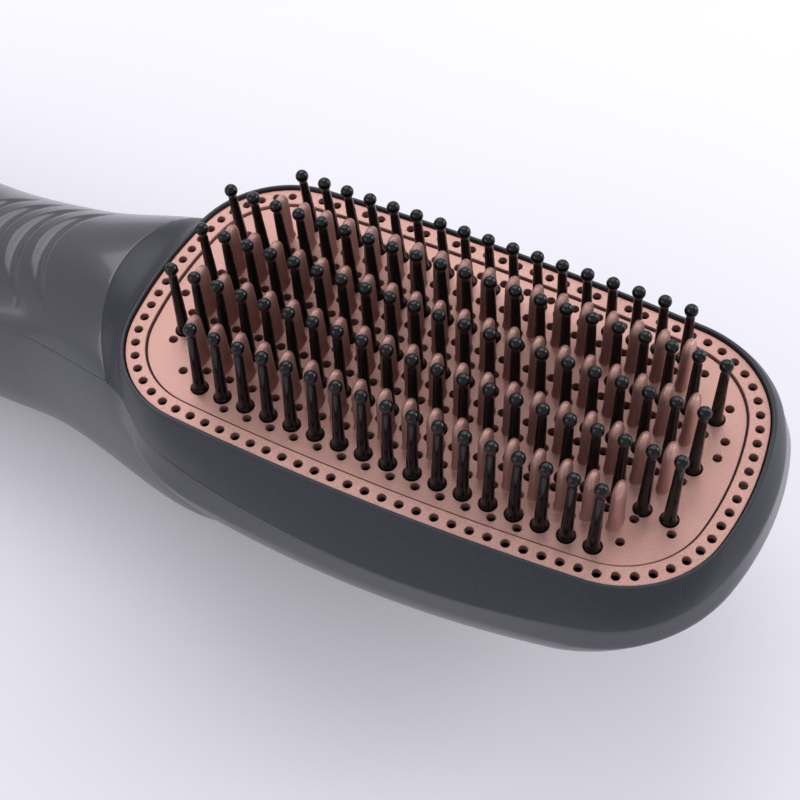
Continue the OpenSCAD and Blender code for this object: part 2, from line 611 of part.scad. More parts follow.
module tooth() intersection() {
    translate([0, 0, -0.6]) linear_extrude(tooth_h + 1) rotate([0, 0, 90])
        polygon(slot_points(tooth_l, tooth_w, 6));
    translate([0, tooth_l, 0]) rotate([90, 0, 0]) linear_extrude(2*tooth_l)
        polygon(bullet(tooth_w, tooth_h));
    translate([-tooth_w, 0, 0]) rotate([90, 0, 90]) linear_extrude(2*tooth_w)
        polygon(bullet(tooth_l, tooth_h));
}
module heater_plate() color(rose) place() union() {
    translate([0, 0, plate_under]) linear_extrude(plate_t) difference() {
        polygon(outline(grow(hole_line, plate_edge), 6));
        vents(vent_d);
        edge_vents(vent_d);
        for (r = [0:4], k = [-row_count[r]:row_count[r]]) translate([k*pin_pitch, row_y[r]])
            circle(d = collar_d + collar_gap, $fn = 24);
    }
    for (t = tooth_rows, k = [-t[1]:t[1] - 1])
        translate([k*pin_pitch + tooth_shift, t[0]*pin_pitch, 0]) tooth();
    for (p = post_spots) translate([p.x, p.y, floor_under + 3.1]) difference() {
        cylinder(d = boss_d, h = plate_under - floor_under - 3.1 + 0.2, $fn = 32);
        translate([0, 0, -1]) cylinder(d = boss_hole_d, h = 5, $fn = 24);
    }
}
film_half = row_y[4] - bar_w/2 - 0.3;
module heater_film() color([0.75, 0.45, 0.15]) place() translate([0, 0, film_under])
    linear_extrude(film_t - 0.02) difference() {
        intersection() {
            polygon(outline(grow(hole_line, gasket_in - 0.2), 6));
            square([200, 2*film_half], center = true);
        }
        for (r = [1:3]) translate([0, row_y[r]])
            polygon(slot_points(2*row_count[r]*pin_pitch + bar_w + 1.4, bar_w + 0.3));
        for (p = post_spots) translate(p) circle(d = boss_d + 0.6, $fn = 32);
        vents(vent_d + 0.2);
    }
// the pins of the outer rows are a little shorter
function ball_z(r) = pin_h - (abs(r - 2) > 1 ? 1.2 : 0);
module bristle_row(r) color(black) place() union() {
    translate([0, row_y[r], 0]) slot(2*row_count[r]*pin_pitch + bar_w + 1, bar_w, bar_under, bar_h - 0.02);
    for (k = [-row_count[r]:row_count[r]]) translate([k*pin_pitch, row_y[r], 0]) {
        translate([0, 0, plate_under - 1]) cylinder(d = collar_d, h = plate_t + 1.1, $fn = 32);
        rotate([atan(pin_pull*row_y[r]/pin_h), 0, 0]) {
            translate([0, 0, -0.5]) cylinder(d1 = pin_root_d, d2 = pin_tip_d, h = ball_z(r) + 0.5, $fn = 24);
            translate([0, 0, ball_z(r)]) sphere(d = ball_d, $fn = 32);
        }
    }
}
module bristle_row_1() bristle_row(0);
module bristle_row_2() bristle_row(1);
module bristle_row_3() bristle_row(2);
module bristle_row_4() bristle_row(3);
module bristle_row_5() bristle_row(4);
module plate_thermostat() color(steel) place() translate([0, 1.175*pin_pitch, 0])
    box(-8, 8, -1.9, 1.9, film_under - 3.4, film_under);
module plate_thermistor() color(nylon) place() translate([-22, 1.175*pin_pitch, 0])
    box(-4, 4, -1.6, 1.6, film_under - 2.4, film_under);

// ---- tail ----
module tail_profile(r) polygon([[0, 0], [r, 0], [r - 0.6, 2.5], [r - 2.5, 4.8], [r - 6, 6.4],
                                [r - 9, cap_l], [0, cap_l]]);
cap_r = grip_r - 0.1;
bore_r = 6;
module tail_cap() color(gunmetal) place() difference() {
    at_tail() difference() {
        union() {
            rotate_extrude($fn = 96) tail_profile(cap_r);
            translate([0, 0, -3]) cylinder(r = grip_inner - 0.2, h = 3.5, $fn = 96);
        }
        translate([0, 0, -5]) cylinder(r = grip_inner - 2.2, h = 8.5, $fn = 96);
        cylinder(r = bore_r + fit, h = 20, $fn = 64);
    }
    box(-handle_end - 20, -handle_end + 10, -40, 40, rest_z - 10, rest_z);
    box(-handle_end, -handle_end + 10, -40, 40, rest_z - 10, rest_z + wall + 0.2);
}
module at_tail() translate([-handle_end, 0, grip_mid]) rotate([0, -90, 0]) children();
module cord_swivel() color(black) place() at_tail() difference() {
    union() {
        translate([0, 0, -1]) cylinder(r = bore_r, h = cap_l + seam + 1.5, $fn = 64);
        translate([0, 0, 0.6]) cylinder(r = bore_r + 2.4, h = 2.6, $fn = 64);
        translate([0, 0, cap_l + seam]) cylinder(r1 = bore_r + 1.6, r2 = bore_r - 0.4, h = swivel_l, $fn = 64);
    }
    translate([0, 0, -5]) cylinder(d = cord_d, h = 40, $fn = 48);
}
module slip_rings() color([0.75, 0.55, 0.25]) place() at_tail()
    translate([0, 0, -3]) ring_tube(2*bore_r - 0.6, cord_d, 1.95);
module swivel_retainer() color(nylon) place() at_tail()
    translate([0, 0, -3.4]) ring_tube(2*(grip_inner - 2.25), 2*bore_r + 2*run, 2.4);

front_frame();
rear_shell();
handle_top_cover();
tail_cap();
vent_ring();
heater_plate();
plate_gasket();
heater_film();
steam_tray();
tray_screws();
frame_screws();
heat_shield();
plate_thermostat();
plate_thermistor();
bristle_row_1();
bristle_row_2();
bristle_row_3();
bristle_row_4();
bristle_row_5();
steam_generator();
generator_heater();
generator_fuse();
generator_screws();
steam_pipe();
pipe_seal();
water_pump();
pump_mount();
inlet_tube();
pump_tube();
water_tank();
filler_seal();
filler_cap();
filler_pin();
control_panel();
display_lens();
display_module();
power_button();
steam_button();
temp_down_button();
temp_up_button();
control_board();
tact_switches();
board_parts();
board_screws();
cord_swivel();
swivel_retainer();
slip_rings();
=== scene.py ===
# Steam hair straightener brush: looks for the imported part, in metres, in the part's own frame
import json
import math

import bmesh
import bpy
import numpy as np
from mathutils import Matrix, Vector
from mathutils.geometry import delaunay_2d_cdt


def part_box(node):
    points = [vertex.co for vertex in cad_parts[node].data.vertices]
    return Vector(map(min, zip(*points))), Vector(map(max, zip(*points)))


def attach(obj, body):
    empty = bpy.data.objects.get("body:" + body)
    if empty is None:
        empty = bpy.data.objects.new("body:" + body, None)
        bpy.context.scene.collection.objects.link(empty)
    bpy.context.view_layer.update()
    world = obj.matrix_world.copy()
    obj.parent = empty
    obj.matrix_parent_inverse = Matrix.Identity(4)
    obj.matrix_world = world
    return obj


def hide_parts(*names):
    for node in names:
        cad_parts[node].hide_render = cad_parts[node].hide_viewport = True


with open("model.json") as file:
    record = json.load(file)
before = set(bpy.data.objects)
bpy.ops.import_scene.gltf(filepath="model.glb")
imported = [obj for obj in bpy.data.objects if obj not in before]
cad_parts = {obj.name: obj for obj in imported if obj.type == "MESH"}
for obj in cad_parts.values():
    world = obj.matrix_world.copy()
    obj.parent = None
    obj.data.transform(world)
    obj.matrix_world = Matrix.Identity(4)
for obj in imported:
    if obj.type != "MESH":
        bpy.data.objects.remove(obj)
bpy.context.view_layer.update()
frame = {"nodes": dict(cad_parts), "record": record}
nodes = frame["nodes"]
mm = 0.001

# ---- where the brush face is: its sizes are in millimetres about the plate's centre ----
face = {
    "pinPitch": 5.0,
    "holeLine": np.array([11.86, 5.93, 116, 12.6, 3.84, -1.8, 11.91, 17, 3.64]) * 5.0,  # the ring of vents
    "ringOut": 1.85,
    "ringIn": -2.0,
    "ringTop": 0.5,
    "plateEdge": -2.35,
    "plateThick": 1.8,
    "openingEdge": 2.3,
    "lipEdge": 2.8,
    "lipHeight": 1.2,
    "ringHoles": 96,
    "holeDrift": 1.0,  # the holes crowd a little at the corners
    "ventRadius": 0.85,
}
ringLow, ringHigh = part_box("vent_ring")
faceCentre = Vector((ringHigh.x - (face["holeLine"][0] + face["ringOut"]) * mm, 0,
                     ringHigh.z - face["ringTop"] * mm))


def toFrame(points):  # millimetres about the plate's centre to metres in the part's frame
    return np.asarray(points, float) * mm + np.array(faceCentre)


# ---- outlines: nine numbers each, about the widest place ----
# tip x, half width, radius of the side, of the tip end and of the tip corner, widest x, distance of the handle
# end, its radius and its corner radius
def grow(o, d):
    return np.asarray(o) + d * np.array([1, 1, 1, 1, 1, 0, 1, 1, 1])


def cornerOf(o):  # the corner arc's centre and the angles where it meets the end arc and the side arc
    p, q = np.array([o[0] - o[3], 0.0]), np.array([0.0, o[1] - o[2]])
    a, b = o[3] - o[4], o[2] - o[4]
    d = np.linalg.norm(q - p)
    e = (q - p) / d
    u = (a * a - b * b + d * d) / (2 * d)
    h = math.sqrt(a * a - u * u)
    c = p + u * e + h * np.array([-e[1], e[0]])
    return c, math.atan2(c[1], c[0] - o[0] + o[3]), math.atan2(c[1] - o[1] + o[2], c[0])


def along(o, s):  # the point at distance s along a quarter of the outline, from its end to its side
    c, e, k = cornerOf(o)
    toEnd, toSide = o[3] * e, o[4] * (k - e)
    if s < toEnd:
        return np.array([o[0] - o[3] + o[3] * math.cos(s / o[3]), o[3] * math.sin(s / o[3])])
    if s < toEnd + toSide:
        t = e + (s - toEnd) / o[4]
        return c + o[4] * np.array([math.cos(t), math.sin(t)])
    t = k + (s - toEnd - toSide) / o[2]
    return np.array([o[2] * math.cos(t), o[1] - o[2] + o[2] * math.sin(t)])


def quarterLength(o):
    c, e, k = cornerOf(o)
    return o[3] * e + o[4] * (k - e) + o[2] * (math.pi / 2 - k)


def tipPart(o):
    return [o[0] - o[5], o[1], o[2], o[3], o[4]]


def handlePart(o):
    return [o[6] + o[5], o[1], o[2], o[7], o[8]]


def outline(o, n):  # 4n points all round, counter-clockwise from the tip
    t, h = tipPart(o), handlePart(o)
    tl, hl = quarterLength(t), quarterLength(h)
    tip = [along(t, tl * i / n) + [o[5], 0] for i in range(n + 1)]
    back = [along(h, hl * i / n) * [-1, 1] + [o[5], 0] for i in range(n, -1, -1)]
    half = tip + back[1:]
    return np.array(half + [p * [1, -1] for p in half[-2:0:-1]])


def ringSpot(i):
    o = face["holeLine"]
    tl, hl = quarterLength(tipPart(o)), quarterLength(handlePart(o))
    t = i / (face["ringHoles"] / 2)
    s = (tl + hl) * t - face["holeDrift"] * math.sin(2 * math.pi * t)
    if s <= tl:
        p = along(tipPart(o), s)
        return np.array([o[5] + p[0], p[1]])
    p = along(handlePart(o), tl + hl - s)
    return np.array([o[5] - p[0], p[1]])


# ---- mesh helpers ----
def newPiece(name, verts, faces, body="housing", slot=None):
    mesh = bpy.data.meshes.new(name)
    mesh.from_pydata([tuple(v) for v in verts], [], faces)
    obj = bpy.data.objects.new(name, mesh)
    bpy.context.scene.collection.objects.link(obj)
    mesh.polygons.foreach_set("use_smooth", [True] * len(mesh.polygons))
    if body:
        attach(obj, body)
    if slot:
        obj.data.materials.append(finishes[slot])
    return obj


def loopFaces(rows, count, closeStart=False, closeEnd=False):  # quads between rows of count points
    faces = [(a + i, a + (i + 1) % count, a + count + (i + 1) % count, a + count + i)
             for a in range(0, (rows - 1) * count, count) for i in range(count)]
    if closeStart:
        faces.append(tuple(range(count - 1, -1, -1)))
    if closeEnd:
        faces.append(tuple((rows - 1) * count + i for i in range(count)))
    return faces


def lathe(profile, sides):  # profile of (radius, height), from the foot up; radius 0 closes it
    verts, faces, rings = [], [], []
    for r, h in profile:
        if r < 1e-9:
            rings.append([len(verts)])
            verts.append((0, 0, h))
        else:
            rings.append(list(range(len(verts), len(verts) + sides)))
            verts += [(r * math.cos(2 * math.pi * k / sides), r * math.sin(2 * math.pi * k / sides), h)
                      for k in range(sides)]
    for a, b in zip(rings, rings[1:]):
        for k in range(sides):
            j = (k + 1) % sides
            if len(a) == 1 and len(b) > 1:
                faces.append((a[0], b[j], b[k]))
            elif len(b) == 1 and len(a) > 1:
                faces.append((a[k], a[j], b[0]))
            elif len(a) > 1:
                faces.append((a[k], a[j], b[j], b[k]))
    return np.array(verts), faces


def copies(verts, faces, matrices):  # many placed copies of one form as a single mesh
    allVerts, allFaces = [], []
    for m in matrices:
        base = sum(len(v) for v in allVerts)
        allVerts.append(verts @ m[:3, :3].T + m[:3, 3])
        allFaces += [tuple(base + i for i in f) for f in faces]
    return np.concatenate(allVerts), allFaces


def sharpen(obj, degrees):
    obj.data.set_sharp_from_angle(angle=math.radians(degrees))


# ---- shader groups ----
def newGroup(name, inputs, outputs):
    group = bpy.data.node_groups.new(name, "ShaderNodeTree")
    for label, kind, value in inputs:
        s = group.interface.new_socket(name=label, in_out="INPUT", socket_type=kind)
        if value is not None:
            s.default_value = value
    for label, kind in outputs:
        group.interface.new_socket(name=label, in_out="OUTPUT", socket_type=kind)
    return group, group.nodes.new("NodeGroupInput"), group.nodes.new("NodeGroupOutput")


def addNode(tree, kind, **settings):
    node = tree.nodes.new(kind)
    for key, value in settings.items():
        if key in node.inputs:
            node.inputs[key].default_value = value
        else:
            setattr(node, key, value)
    return node


def buildGrainGroup():  # fine moulded or painted grain: a fleck mask, a cloudy mask and a height
    group, source, sink = newGroup(
        "moulded grain",
        [("Grain Scale", "NodeSocketFloat", 3000.0), ("Cloud Scale", "NodeSocketFloat", 30.0)],
        [("Fleck", "NodeSocketFloat"), ("Cloud", "NodeSocketFloat"), ("Height", "NodeSocketFloat")])
    place = addNode(group, "ShaderNodeTexCoord")
    fine = addNode(group, "ShaderNodeTexNoise")
    fine.inputs["Detail"].default_value = 2
    cloud = addNode(group, "ShaderNodeTexNoise")
    cloud.inputs["Detail"].default_value = 4
    cell = addNode(group, "ShaderNodeTexVoronoi")
    flake = addNode(group, "ShaderNodeMapRange")
    flake.inputs["From Min"].default_value = 0.35
    flake.inputs["From Max"].default_value = 0.75
    for tex, scale in ((fine, "Grain Scale"), (cloud, "Cloud Scale"), (cell, "Grain Scale")):
        group.links.new(place.outputs["Object"], tex.inputs["Vector"])
        group.links.new(source.outputs[scale], tex.inputs["Scale"])
    group.links.new(fine.outputs["Fac"], flake.inputs["Value"])
    group.links.new(flake.outputs["Result"], sink.inputs["Fleck"])
    group.links.new(cloud.outputs["Fac"], sink.inputs["Cloud"])
    group.links.new(cell.outputs["Distance"], sink.inputs["Height"])
    return group


def buildSpanGroup():  # spreads a mask between two values, for roughness
    group, source, sink = newGroup(
        "value span",
        [("Mask", "NodeSocketFloat", 0.5), ("Low", "NodeSocketFloat", 0.3), ("High", "NodeSocketFloat", 0.5)],
        [("Value", "NodeSocketFloat")])
    span = addNode(group, "ShaderNodeMapRange")
    span.inputs["From Min"].default_value = 0.3
    span.inputs["From Max"].default_value = 0.7
    group.links.new(source.outputs["Mask"], span.inputs["Value"])
    group.links.new(source.outputs["Low"], span.inputs["To Min"])
    group.links.new(source.outputs["High"], span.inputs["To Max"])
    group.links.new(span.outputs["Result"], sink.inputs["Value"])
    return group


grainGroup = buildGrainGroup()
spanGroup = buildSpanGroup()


def linear(r, g, b):  # a colour as seen on screen, 0 to 255, for a colour socket
    def one(v):
        v /= 255
        return v / 12.92 if v <= 0.04045 else ((v + 0.055) / 1.055) ** 2.4
    return (one(r), one(g), one(b), 1.0)


finishKeys = ("tone", "fleck", "metal", "rough", "grain", "depth", "coat", "shine")
finishList = {  # tones 0 to 255, roughness low and high, grain per metre, its depth in millimetres
    "gunmetal_housing": ((46, 46, 53), (62, 63, 70), 0.45, (0.34, 0.44), 5200, 0.016, 0.0, 0.5),
    "gloss_handle": ((66, 66, 72), (75, 75, 81), 0.4, (0.26, 0.34), 4200, 0.003, 0.5, 0.5),
    "rose_gold_metal": ((182, 137, 127), (210, 168, 158), 0.6, (0.38, 0.5), 5200, 0.024, 0.0, 0.5),
    "black_rubber": ((22, 22, 23), (30, 30, 31), 0.0, (0.6, 0.75), 2600, 0.03, 0.0, 0.5),
    "black_nylon": ((7, 7, 9), (11, 11, 14), 0.0, (0.1, 0.16), 3000, 0.003, 0.0, 0.32),
    "heater_foil": ((176, 112, 50), (196, 132, 66), 0.4, (0.3, 0.42), 1600, 0.02, 0.2, 0.5),
    "steel": ((182, 184, 188), (205, 207, 210), 0.95, (0.25, 0.38), 4200, 0.01, 0.0, 0.5),
    "white_nylon": ((222, 221, 214), (232, 231, 226), 0.0, (0.4, 0.52), 2600, 0.01, 0.0, 0.5),
    "cast_aluminium": ((168, 170, 174), (196, 198, 201), 0.85, (0.42, 0.6), 1500, 0.05, 0.0, 0.5),
    "clear_tube": ((226, 226, 222), (236, 236, 232), 0.0, (0.18, 0.26), 2000, 0.004, 0.3, 0.5),
    "tank_plastic": ((186, 204, 216), (200, 216, 226), 0.0, (0.16, 0.26), 2000, 0.004, 0.2, 0.5),
    "pump_plastic": ((74, 74, 78), (86, 86, 90), 0.0, (0.42, 0.55), 2200, 0.015, 0.0, 0.5),
    "gloss_black": ((17, 17, 19), (22, 22, 24), 0.0, (0.08, 0.14), 2600, 0.002, 0.8, 0.5),
    "board_green": ((24, 88, 50), (30, 104, 60), 0.0, (0.35, 0.48), 1800, 0.01, 0.2, 0.5),
    "component_brown": ((120, 84, 50), (138, 98, 60), 0.0, (0.4, 0.55), 1800, 0.01, 0.0, 0.5),
    "brass_rings": ((196, 150, 74), (214, 170, 92), 0.95, (0.22, 0.34), 3600, 0.01, 0.0, 0.5),
}


def makeFinish(name, f):
    material = bpy.data.materials.new(name)
    material.use_nodes = True
    tree = material.node_tree
    tree.nodes.clear()
    out = addNode(tree, "ShaderNodeOutputMaterial")
    shader = addNode(tree, "ShaderNodeBsdfPrincipled")
    shader.inputs["Metallic"].default_value = f["metal"]
    shader.inputs["Coat Weight"].default_value = f["coat"]
    shader.inputs["Coat Roughness"].default_value = 0.1
    shader.inputs["Specular IOR Level"].default_value = f["shine"]
    grain = addNode(tree, "ShaderNodeGroup", node_tree=grainGroup)
    grain.inputs["Grain Scale"].default_value = f["grain"]
    grain.inputs["Cloud Scale"].default_value = 34
    tone = addNode(tree, "ShaderNodeMix", data_type="RGBA")
    tone.inputs["A"].default_value = linear(*f["tone"])
    tone.inputs["B"].default_value = linear(*f["fleck"])
    rough = addNode(tree, "ShaderNodeGroup", node_tree=spanGroup)
    rough.inputs["Low"].default_value, rough.inputs["High"].default_value = f["rough"]
    bump = addNode(tree, "ShaderNodeBump")
    bump.inputs["Distance"].default_value = f["depth"] * mm
    link = tree.links.new
    link(grain.outputs["Fleck"], tone.inputs["Factor"])
    link(tone.outputs["Result"], shader.inputs["Base Color"])
    link(grain.outputs["Cloud"], rough.inputs["Mask"])
    link(rough.outputs["Value"], shader.inputs["Roughness"])
    link(grain.outputs["Height"], bump.inputs["Height"])
    link(bump.outputs["Normal"], shader.inputs["Normal"])
    link(shader.outputs["BSDF"], out.inputs["Surface"])
    return material


finishes = {name: makeFinish(name, dict(zip(finishKeys, row))) for name, row in finishList.items()}
for entry in frame["record"]["subparts"]:
    mesh = nodes[entry["node"]].data
    mesh.materials.clear()
    mesh.materials.append(finishes[entry["material_slot"]])
print("finishes ready")

# ---- housing skin: the head and the handle as two dense closed forms, joined and smoothed where they meet ----
head = {
    "partDepth": 13.2,
    "bandHeight": 4.5,
    "backDepth": 20.0,
    "sagX": -15.0,
    "sagTip": 0.0015,
    "sagNeck": 0.00096,
    "around": 96,  # points in a quarter of the outline
    "backSteps": (0.008, 0.03, 0.06, 0.1, 0.15, 0.2, 0.26, 0.32, 0.38, 0.44, 0.5, 0.56, 0.62, 0.68, 0.73, 0.78,
                  0.82, 0.86, 0.89, 0.92, 0.94, 0.96, 0.975, 0.985),
}
holeLine = face["holeLine"]
lipOutline = grow(holeLine, face["lipEdge"])
openingOutline = grow(holeLine, face["openingEdge"])
partOutline = np.array([holeLine[0] + 5.9, holeLine[1] + 8, 240, 51, 23.5, 2, holeLine[6] + 7, 70, 30])
creaseOutline = partOutline + np.array([1.1, 0.5, 160, 12, 3, -6, 0.5, 6, 2])


def partHeight(x):
    bend = np.where(x < head["sagX"], head["sagNeck"], head["sagTip"])
    return -head["partDepth"] + bend * (x - head["sagX"]) ** 2


def wallSection(u):
    bulge = u * (1.35 - 0.35 * u)
    p = outline(lipOutline + (partOutline - lipOutline) * bulge, head["around"])
    z = face["lipHeight"] + (partHeight(p[:, 0]) - face["lipHeight"]) * u
    return np.column_stack([p, z])


def backSection(t):
    p = outline(creaseOutline, head["around"])
    p = p * [(1 - t ** 1.1) ** (1 / 3), (1 - t ** 2.2) ** (1 / 2.2)]
    return np.column_stack([p, partHeight(p[:, 0]) - head["bandHeight"] - t * head["backDepth"]])


def flatLoop(o, z):
    p = outline(o, head["around"])
    return np.column_stack([p, np.full(len(p), z)])


def headForm():
    lip = face["lipHeight"]
    rows = [flatLoop(openingOutline, lip), flatLoop(grow(lipOutline, -0.35), lip),
            flatLoop(grow(lipOutline, -0.1), lip - 0.04), flatLoop(lipOutline, lip - 0.22)]
    rows += [wallSection(u) for u in np.linspace(0.04, 1, 22)]
    bottom, top = backSection(0.0), wallSection(1.0)
    rows += [top + (bottom - top) * s for s in (0.25, 0.5, 0.75, 0.93)]
    rows += [backSection(t) for t in head["backSteps"]]
    count = 4 * head["around"]
    return np.concatenate(rows), loopFaces(len(rows), count, closeStart=True, closeEnd=True)


handle = {
    "top": -10.2,
    "radius": 22.8,
    "end": -205.0,
    "restCut": 0.8,
    "around": 168,
    "grooveSpots": (-91.3, -98.7, -106.1, -113.5),
    "grooveDepth": 0.85,
    "grooveHalfWidth": 2.1,
    "grooveReach": 14.6,
    "grooveBend": 15.0,
}
handleBottom = handle["top"] - 2 * handle["radius"]
handleMiddle = handle["top"] - handle["radius"]


def ease(t):
    c = np.clip(t, 0, 1)
    return c * c * (3 - 2 * c)


def neckLoop(x):
    top = handle["top"] + 10.1 * ease((x + 120.5) / 55.5) - 10 * ease((x + 58) / 20)
    bottom = handleBottom + 19 * ease((x + 58.3) / 52)
    half = handle["radius"] + 7.4 * ease((x + 91) / 52) - 6 * ease((x + 40) / 28)
    k = 2 / (2 + 0.7 * ease((x + 90) / 40))
    a = np.linspace(0, 2 * math.pi, handle["around"], endpoint=False)
    c, s = np.cos(a), np.sin(a)
    y = half * np.sign(c) * np.abs(c) ** k
    z = (top + bottom) / 2 + (top - bottom) / 2 * np.sign(s) * np.abs(s) ** k
    return np.column_stack([np.full(len(a), x), y, z])


def grooveDip(x, y):  # how deep the finger grooves are at a place on the handle's crown
    dip = np.zeros_like(x)
    for spot in handle["grooveSpots"]:
        reach = np.clip(1 - (y / handle["grooveReach"]) ** 2, 0, 1)
        sideways = np.minimum(np.abs(y), handle["grooveReach"] - 1.5)
        drop = np.sqrt(np.maximum(handle["grooveBend"] ** 2 - sideways ** 2, 0))
        middle = spot + 0.9 * (handle["grooveBend"] - drop)
        s = (x - middle) / (handle["grooveHalfWidth"] * np.sqrt(reach) + 1e-6)
        shape = np.where(np.abs(s) < 1, (1 - np.abs(s) ** 2.2), 0)
        dip = np.maximum(dip, handle["grooveDepth"] * reach * shape)
    return dip


def handleForm():
    xs = np.concatenate([np.arange(handle["end"], -122, 2.0), np.arange(-122, -76, 0.42),
                         np.arange(-76, -12.0, 0.9), [-12.0]])
    rows = []
    for x in xs:
        p = neckLoop(x)
        up = p[:, 2] > handleMiddle + 4
        dip = np.where(up, grooveDip(p[:, 0], p[:, 1]), 0)
        inward = np.column_stack([np.zeros(len(p)), -p[:, 1], handleMiddle - p[:, 2]])
        p = p + inward / np.linalg.norm(inward, axis=1)[:, None] * dip[:, None]
        p[:, 2] = np.maximum(p[:, 2], handleBottom + handle["restCut"])
        rows.append(p)
    faces = loopFaces(len(rows), handle["around"], closeStart=True, closeEnd=True)
    return np.concatenate(rows), [f[::-1] for f in faces]


def outwards(mesh):  # all faces turned to look out of a closed form
    bm = bmesh.new()
    bm.from_mesh(mesh)
    bmesh.ops.recalc_face_normals(bm, faces=bm.faces)
    bm.to_mesh(mesh)
    bm.free()


def joinedSkin():
    a = newPiece("headForm", *headForm(), body=None)
    b = newPiece("handleForm", *handleForm(), body=None)
    for obj, index in ((a, 0), (b, 1)):
        outwards(obj.data)
        for label in ("headSide", "handleSide"):
            obj.data.materials.append(bpy.data.materials.new(label))
        obj.data.polygons.foreach_set("material_index", [index] * len(obj.data.polygons))
    union = a.modifiers.new("join", "BOOLEAN")
    union.operation, union.solver, union.object = "UNION", "EXACT", b
    union.material_mode = "INDEX"
    bpy.context.view_layer.update()
    mesh = bpy.data.meshes.new_from_object(a.evaluated_get(bpy.context.evaluated_depsgraph_get()))
    bm = bmesh.new()
    bm.from_mesh(mesh)
    for obj in (a, b):
        bpy.data.objects.remove(obj)
    return bm


def smoothJunction(bm, reach=5.0, rounds=40):
    seam = {v for e in bm.edges if len(e.link_faces) == 2
            and e.link_faces[0].material_index != e.link_faces[1].material_index for v in e.verts}
    seamPoints = np.array([v.co for v in seam])
    near, weight = [], {}
    for v in bm.verts:
        if v.co.x > -12 or v.co.x < -90:
            continue
        d = np.sqrt(((seamPoints - np.array(v.co)) ** 2).sum(1).min())
        if d < reach and v.co.z < face["lipHeight"] - 0.5:
            near.append(v)
            weight[v] = 1 - ease(d / reach)
    for _ in range(rounds):
        moved = {}
        for v in near:
            ring = [e.other_vert(v).co for e in v.link_edges]
            mean = sum(ring, Vector()) / len(ring)
            moved[v] = v.co.lerp(mean, 0.5 * float(weight[v]))
        for v, co in moved.items():
            v.co = co


def cutAlong(bm, value, tiny=0.004):  # splits the faces where value crosses zero
    values = {v: value(v.co) for v in bm.verts}
    on = {v for v, f in values.items() if abs(f) < tiny}
    for e in list(bm.edges):
        a, b = e.verts
        fa, fb = values[a], values[b]
        if fa * fb < 0 and abs(fa) >= tiny and abs(fb) >= tiny:
            _, v = bmesh.utils.edge_split(e, a, fa / (fa - fb))
            values[v] = 0
            on.add(v)
    for f in list(bm.faces):
        cut = [v for v in f.verts if v in on]
        if len(cut) == 2 and len(f.verts) > 3:
            others = [values[v] for v in f.verts if v not in on]
            if others and min(others) < 0 < max(others):
                bmesh.utils.face_split(f, cut[0], cut[1])


shell = {
    "arcX": -33.2,
    "arcRadius": 38.0,
    "arcSide": 23.4,
    "seamX": -65.0,
    "seamZ": -10.83,
    "seamSlope": 0.168,
    "seamGap": 0.14,  # half of a seam's width
    "rimRound": 0.24,
    "rimDepth": 1.6,
    "panelX": -148.0,
    "panelLength": 68.2,
    "panelWidth": 15.2,
    "fillerX": -191.0,
    "lidBack": 10.2,
    "lidFront": 6.8,
    "lidHalf": 6.3,
}
arcEndX = shell["arcX"] - math.sqrt(shell["arcRadius"] ** 2 - shell["arcSide"] ** 2)


def headSide(p):
    return max(shell["arcRadius"] - math.hypot(p[0] - shell["arcX"], p[1]), p[0] - arcEndX)


def frameSide(p):  # above 0 on the front frame
    return min(headSide(p), p[2] - float(partHeight(p[0])))


def coverSide(p):  # above 0 on the handle cover
    return min(p[2] - shell["seamZ"] - shell["seamSlope"] * (p[0] - shell["seamX"]), -headSide(p))


def panelSide(p):  # below 0 inside the control panel's recess
    half = (shell["panelLength"] - shell["panelWidth"]) / 2
    return math.hypot(max(abs(p[0] - shell["panelX"]) - half, 0), p[1]) - shell["panelWidth"] / 2


def lidSide(p):  # below 0 inside the filler's opening
    x = p[0] - shell["fillerX"]
    return max(-shell["lidBack"] - x, x - shell["lidFront"], abs(p[1]) - shell["lidHalf"])


def rollRims(bm, depth):  # rounds the open edges over and turns them into the wall
    bm.normal_update()
    edges = [e for e in bm.edges if len(e.link_faces) == 1]
    out = {}
    for e in edges:
        f = e.link_faces[0]
        side = (e.verts[1].co - e.verts[0].co).cross(f.normal).normalized()
        middle = (e.verts[0].co + e.verts[1].co) / 2
        if side.dot(f.calc_center_median() - middle) > 0:
            side = -side
        for v in e.verts:
            out.setdefault(v, []).append((side, f.normal.copy()))
    r = shell["rimRound"]
    for sideways, down in ((0.5 * r, 0.15 * r), (0.5 * r, 0.85 * r), (0.0, depth)):
        made = bmesh.ops.extrude_edge_only(bm, edges=edges)["geom"]
        fresh = [g for g in made if isinstance(g, bmesh.types.BMVert)]
        matched = {}
        for v in fresh:
            for e in v.link_edges:
                o = e.other_vert(v)
                if o in out and v not in matched and o not in fresh:
                    matched[v] = out[o]
        for v, pairs in matched.items():
            side = sum((s for s, n in pairs), Vector()).normalized()
            normal = sum((n for s, n in pairs), Vector()).normalized()
            v.co += side * sideways - normal * down
        edges = [g for g in made if isinstance(g, bmesh.types.BMEdge) and len(g.link_faces) == 1]
        out = matched


